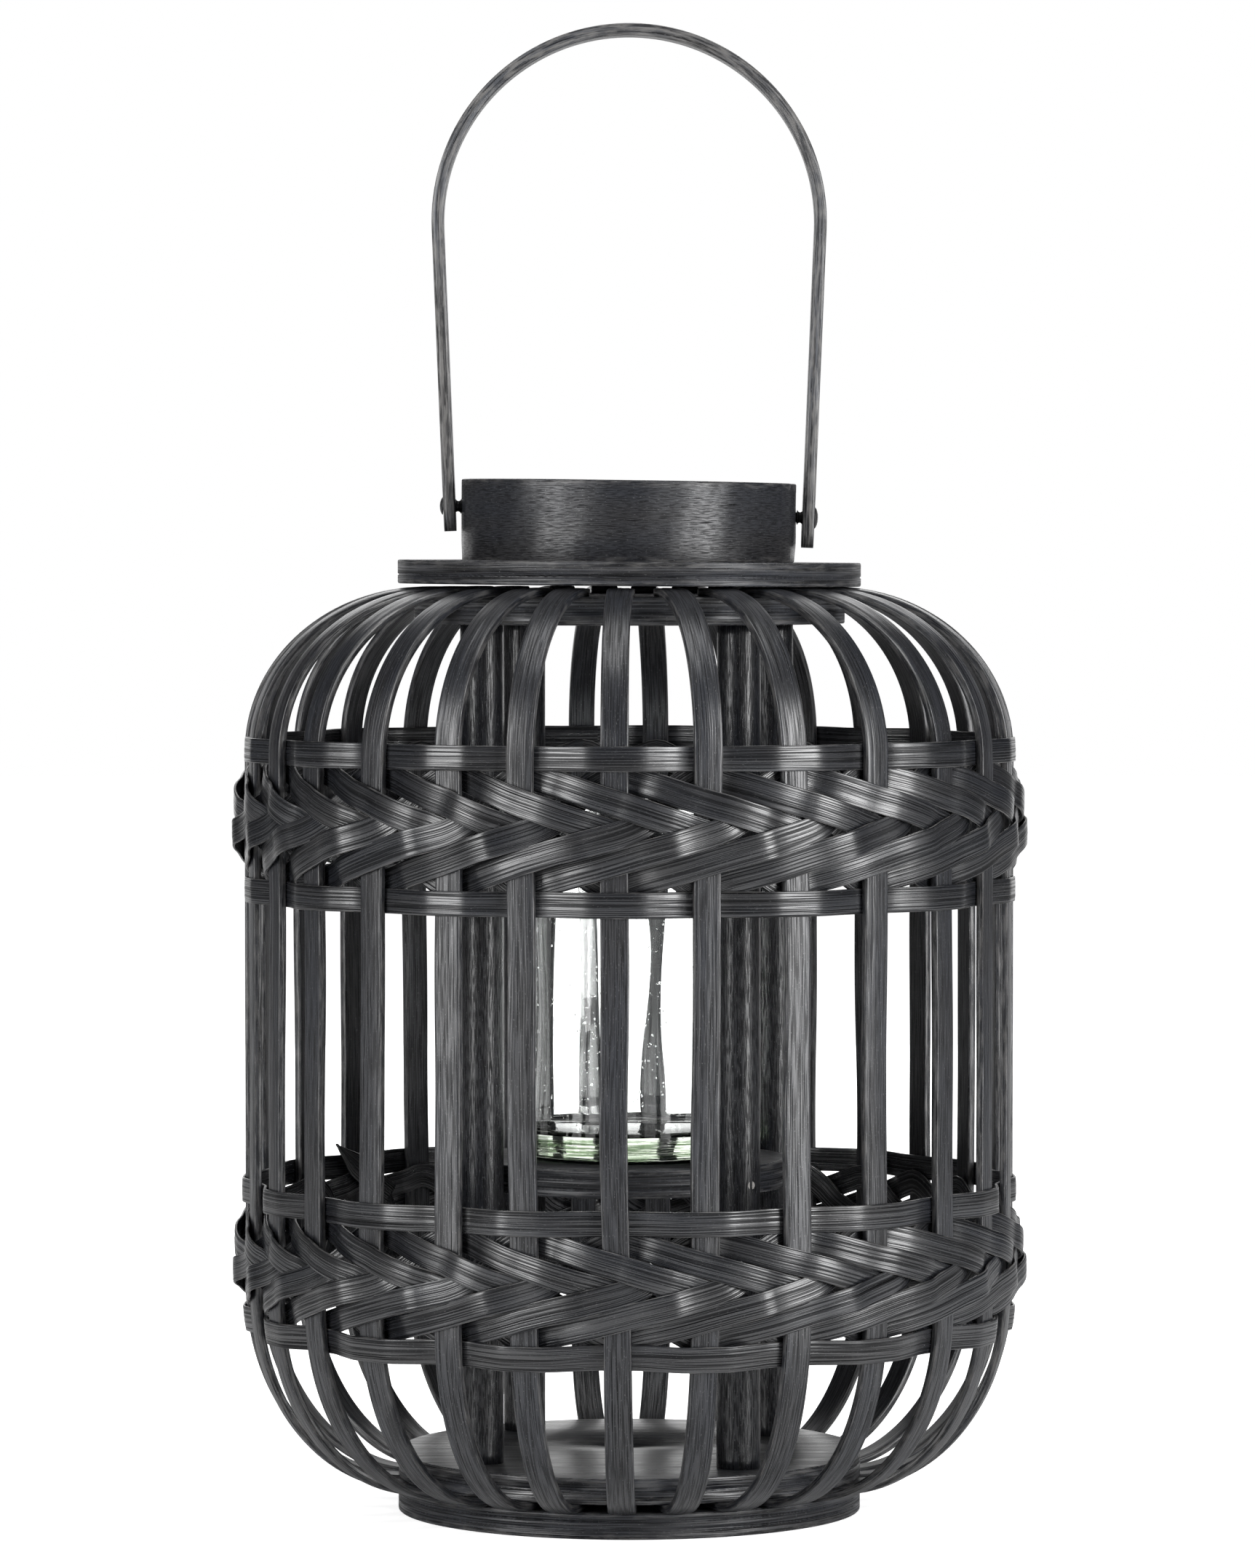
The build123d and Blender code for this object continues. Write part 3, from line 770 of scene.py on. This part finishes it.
def multiplied(tree, first, second):
    node = add(tree, "ShaderNodeMath", operation="MULTIPLY")
    tree.links.new(first, node.inputs[0])
    tree.links.new(second, node.inputs[1])
    return node.outputs[0]


def bamboo(name, dark, light, lines, dash, roughness, shine,
           broad_share=0.3, bump=0.8, specks=0.5, wear=0.35):
    """Black-stained bamboo: raised fibres along the grain, worn edges, pale specks and some gloss. The
    pale edges are rubbed wear, and on the woven strips also a painted highlight for the glints on their
    edges.

    Lines is about how many fibres there are in a metre across the grain, and dash how often a metre
    of fibre breaks. Roughness is (smoothest, roughest), and shine is (between fibres, on fibres).
    """
    material, tree, shader = new_material(name)
    grain = add(tree, "ShaderNodeUVMap", uv_map="grain").outputs["UV"]
    worn = add(tree, "ShaderNodeAttribute", attribute_name="worn").outputs["Fac"]
    fine = stretched_noise(tree, grain, (dash, lines), 1, 0.5)
    broad = stretched_noise(tree, grain, (dash / 4, lines / 3), 1)
    cracks = stretched_noise(tree, grain, (dash / 3, lines * 1.2), 1)
    patches = stretched_noise(tree, grain, (30, 110), 3)
    fibre = ramp(tree, fine, [(0.44, 0.0), (0.54, 1.0)])
    streaks = ramp(tree, broad, [(0.40, 0.0), (0.60, 1.0)])
    lit = mixed(tree, broad_share, fibre, streaks)
    crack = ramp(tree, cracks, [(0.33, 0.25), (0.38, 1.0)])
    tone = mixed(tree, lit, dark, light)
    tone = mixed(tree, ramp(tree, patches, [(0.45, 0.0), (0.75, 0.25)]), tone, light)
    hues = stretched_noise(tree, grain, (14, 60), 2)
    tint = ramp(tree, hues, [(0.35, COOL_TINT), (0.65, WARM_TINT)])
    tone = mixed(tree, 0.8, tone, tint, "MULTIPLY")
    tone = mixed(tree, 1.0, tone, crack, "MULTIPLY")
    # Rubbed edges lightened towards the pale edge tone: real wear, and on the woven strips also a
    # painted highlight for the glints along their edges.
    rubbed = ramp(tree, stretched_noise(tree, grain, (120, 700), 3), [(0.45, 0.0), (0.62, wear)])
    tone = mixed(tree, mixed(tree, 1.0, rubbed, worn, "MULTIPLY"), tone, WORN_EDGE_AND_GLINT_TONE)
    dots = stretched_noise(tree, grain, (900, 2200), 2, 0.6)
    tone = mixed(tree, ramp(tree, dots, [(0.63, 0.0), (0.70, specks)]), tone, PALE_SPECK)
    tree.links.new(tone, shader.inputs["Base Color"])
    low, high = roughness
    smooth_parts = mixed(tree, 0.35, lit, ramp(tree, patches, [(0.3, 0.0), (0.7, 1.0)]))
    tree.links.new(ramp(tree, smooth_parts, [(0.0, high), (1.0, low)]), shader.inputs["Roughness"])
    between, on_fibres = shine
    gloss = ramp(tree, lit, [(0.0, between), (1.0, on_fibres)])
    gloss = mixed(tree, 1.0, gloss, crack, "MULTIPLY")
    tree.links.new(gloss, shader.inputs["Specular IOR Level"])
    raised = add(tree, "ShaderNodeBump")
    raised.inputs["Strength"].default_value = bump
    raised.inputs["Distance"].default_value = FIBRE_HEIGHT
    height = mixed(tree, 1.0, mixed(tree, 0.2, fine, broad), crack, "MULTIPLY")
    tree.links.new(height, raised.inputs["Height"])
    tree.links.new(raised.outputs["Normal"], shader.inputs["Normal"])
    return material


def glass_material():
    """Clear glass with a few seeds; the thick base is green, with pressed rings."""
    material, tree, shader = new_material("clear_cup_glass")
    spot = add(tree, "ShaderNodeTexCoord").outputs["Object"]
    split = add(tree, "ShaderNodeSeparateXYZ")
    tree.links.new(spot, split.inputs[0])
    base_top = SHELF_TOP + GLASS_BASE
    above = scaled(tree, split.outputs["Z"], 0.0, 1.0, base_top - 0.0012, base_top + 0.0004)
    ring = ramp(tree, stretched_noise(tree, spot, (60, 60, 1500), 2), [(0.45, 0.0), (0.56, 1.0)])
    depth = scaled(tree, split.outputs["Z"], 0.4, 1.0, SHELF_TOP, base_top)
    dark_green, pale_green, clear = (0.04, 0.07, 0.03), (0.76, 0.84, 0.70), (0.985, 0.997, 0.99)
    green = mixed(tree, multiplied(tree, ring, depth), dark_green, pale_green)
    tree.links.new(mixed(tree, above, green, clear), shader.inputs["Base Color"])
    shader.inputs["Transmission Weight"].default_value = 1
    shader.inputs["IOR"].default_value = 1.5
    shader.inputs["Roughness"].default_value = 0.01
    seeds = add(tree, "ShaderNodeTexNoise")
    tree.links.new(spot, seeds.inputs["Vector"])
    seeds.inputs["Scale"].default_value = 500
    raised = add(tree, "ShaderNodeBump")
    raised.inputs["Strength"].default_value = 0.25
    raised.inputs["Distance"].default_value = 0.0001
    pitted = ramp(tree, seeds.outputs["Fac"], [(0.70, 0.0), (0.76, 1.0)])
    tree.links.new(mixed(tree, above, mixed(tree, 0.5, ring, pitted), pitted), raised.inputs["Height"])
    tree.links.new(raised.outputs["Normal"], shader.inputs["Normal"])
    return material


def metal_material(name, colour, metallic, smoothest, roughest):
    """Metal or enamel with small brighter and smoother worn spots."""
    material, tree, shader = new_material(name)
    spot = add(tree, "ShaderNodeTexCoord").outputs["Object"]
    wear = add(tree, "ShaderNodeTexNoise")
    wear.inputs["Scale"].default_value = 900
    wear.inputs["Detail"].default_value = 4
    tree.links.new(spot, wear.inputs["Vector"])
    brighter = tuple(min(1, part * 1.8) for part in colour)
    tone = mixed(tree, ramp(tree, wear.outputs["Fac"], [(0.45, 0.0), (0.7, 1.0)]), colour, brighter)
    tree.links.new(tone, shader.inputs["Base Color"])
    rough = ramp(tree, wear.outputs["Fac"], [(0.3, roughest), (0.7, smoothest)])
    tree.links.new(rough, shader.inputs["Roughness"])
    shader.inputs["Metallic"].default_value = metallic
    return material


# ---------------------------------------------------------------- camera, light and floor

def area_light(name, where, target, size, power):
    """A white rectangular light that faces its target."""
    data = bpy.data.lights.new(name, "AREA")
    data.shape = "RECTANGLE"
    data.size, data.size_y = size
    data.energy = power
    lamp = bpy.data.objects.new(name, data)
    bpy.context.scene.collection.objects.link(lamp)
    lamp.location = where
    lamp.rotation_euler = (Vector(target) - Vector(where)).to_track_quat("-Z", "Y").to_euler()


def seen_or_through(tree):
    """1 for what is looked at, straight or through glass, and 0 for what lights the lantern."""
    path = add(tree, "ShaderNodeLightPath")
    either = add(tree, "ShaderNodeMath", operation="MAXIMUM")
    tree.links.new(path.outputs["Is Camera Ray"], either.inputs[0])
    tree.links.new(path.outputs["Is Transmission Ray"], either.inputs[1])
    return either.outputs[0]


def make_floor():
    """A round pale floor that is whiter away from the lantern's shadow."""
    floor_radius, shadow_end, white_from = 8, 0.2, 0.7
    material, tree, shader = new_material("pale_floor")
    shader.inputs["Base Color"].default_value = (0.9, 0.9, 0.9, 1)
    shader.inputs["Roughness"].default_value = 0.9
    shader.inputs["Emission Color"].default_value = (1, 1, 1, 1)
    away = add(tree, "ShaderNodeVectorMath", operation="LENGTH")
    tree.links.new(add(tree, "ShaderNodeTexCoord").outputs["Object"], away.inputs[0])
    glow = scaled(tree, away.outputs["Value"], 0.72, 1.0, shadow_end, white_from)
    tree.links.new(multiplied(tree, glow, seen_or_through(tree)), shader.inputs["Emission Strength"])
    turns = np.radians(np.arange(0, 360, 5))
    vertices = [(floor_radius * math.cos(turn), floor_radius * math.sin(turn), 0.0) for turn in turns]
    mesh = bpy.data.meshes.new("studio_floor")
    mesh.from_pydata(vertices, [], [list(range(len(vertices)))])
    mesh.materials.append(material)
    floor = bpy.data.objects.new("studio_floor", mesh)
    bpy.context.scene.collection.objects.link(floor)


def make_studio():
    """Soft lights round the lantern, and a white room that barely lights it."""
    scene = bpy.context.scene
    scene.view_settings.view_transform = "Standard"
    world = bpy.data.worlds.new("studio")
    world.use_nodes = True
    background = world.node_tree.nodes["Background"]
    background.inputs["Color"].default_value = (1, 1, 1, 1)
    tree = world.node_tree
    tree.links.new(scaled(tree, seen_or_through(tree), 0.06, 1.0), background.inputs["Strength"])
    scene.world = world
    make_floor()
    middle = (0, 0, 0.22)
    area_light("soft_left", (-1.58, -1.32, 0.75), middle, (0.9, 1.5), 31)
    area_light("soft_right", (1.58, -1.32, 0.75), middle, (0.9, 1.5), 45)
    area_light("soft_top", (0, -0.2, 2.4), middle, (1.6, 1.6), 19)
    area_light("soft_back", (0, 2.1, 1.3), middle, (1.8, 1.2), 16)
    area_light("soft_low_back", (0, 2.3, 0.42), (0, 0, 0.2), (3.0, 0.8), 9)


def make_camera():
    """The photograph's view, from a little above the upper band."""
    data = bpy.data.cameras.new("camera")
    data.sensor_fit = "VERTICAL"
    data.sensor_height = 36
    data.lens = 157.4
    camera = bpy.data.objects.new("camera", data)
    bpy.context.scene.collection.objects.link(camera)
    camera.location = (-0.0006, -2.513, 0.354)
    camera.rotation_euler = (math.radians(88.0), 0, 0)
    bpy.context.scene.camera = camera


# ---------------------------------------------------------------- the lantern

make_camera()
make_studio()

STAIN = (0.0060, 0.0064, 0.0077)
rib_bamboo = bamboo(
    "rib_bamboo", (0.0070, 0.0075, 0.0092), (0.0185, 0.0199, 0.0245), lines=2000, dash=60,
    roughness=(0.30, 0.44), shine=(0.45, 0.88), broad_share=0.05, bump=0.5, specks=0.6,
)
# wear=0.6 lightens these strips' edges more than the others': partly wear, partly a painted highlight
# standing in for the glints on the strips' cut edges.
woven_bamboo = bamboo(
    "woven_bamboo", (0.0045, 0.0048, 0.0058), (0.0165, 0.0176, 0.021), lines=1900, dash=18,
    roughness=(0.24, 0.42), shine=(0.2, 1.1), broad_share=0.1, bump=0.7, specks=0.35, wear=0.6,
)
board_bamboo = bamboo(
    "board_bamboo", STAIN, (0.030, 0.032, 0.038), lines=1700, dash=28,
    roughness=(0.36, 0.6), shine=(0.25, 0.65), broad_share=0.25,
)
floor_bamboo = bamboo(
    "floor_bamboo", STAIN, (0.032, 0.034, 0.040), lines=1700, dash=28,
    roughness=(0.24, 0.45), shine=(0.25, 1.1), broad_share=0.25,
)
post_bamboo = bamboo(
    "post_bamboo", STAIN, (0.0145, 0.0154, 0.0185), lines=1700, dash=160,
    roughness=(0.25, 0.41), shine=(0.3, 0.8), broad_share=0.05, bump=0.4, specks=0.6,
)
collar_bamboo = bamboo(
    "collar_bamboo", (0.0085, 0.0088, 0.0105), (0.021, 0.022, 0.026), lines=3000, dash=260,
    roughness=(0.32, 0.44), shine=(0.3, 0.62), broad_share=0.05, bump=0.3,
)
handle_bamboo = bamboo(
    "handle_bamboo", STAIN, (0.082, 0.083, 0.087), lines=1700, dash=40,
    roughness=(0.34, 0.52), shine=(0.3, 0.8), wear=0.7,
)
black_enamel = metal_material("black_enamel", (0.02, 0.02, 0.021), 0.0, 0.25, 0.45)
dull_steel = metal_material("dull_steel", (0.30, 0.29, 0.28), 1.0, 0.3, 0.5)

for number, angle in enumerate(RIB_ANGLES, 1):
    make_rib(number, angle, rib_bamboo)
for seed, (name, band) in enumerate(BANDS.items(), 1):
    make_band(name, band, woven_bamboo, seed * 1000)
make_loose_end(woven_bamboo)
make_boards(board_bamboo, floor_bamboo)
for number, angle in enumerate(POST_ANGLES, 1):
    make_post(number, angle, post_bamboo)
make_collar(collar_bamboo)
make_handle(handle_bamboo)
make_rivet(-1, "rivet_left", 0.0033, black_enamel)
make_rivet(1, "rivet_right", 0.0039, black_enamel)
make_glass(glass_material())

for node in ("base_screws", "top_screws", "shelf_brads"):
    steel_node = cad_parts[node]
    steel_node.data.materials.clear()
    steel_node.data.materials.append(dull_steel)
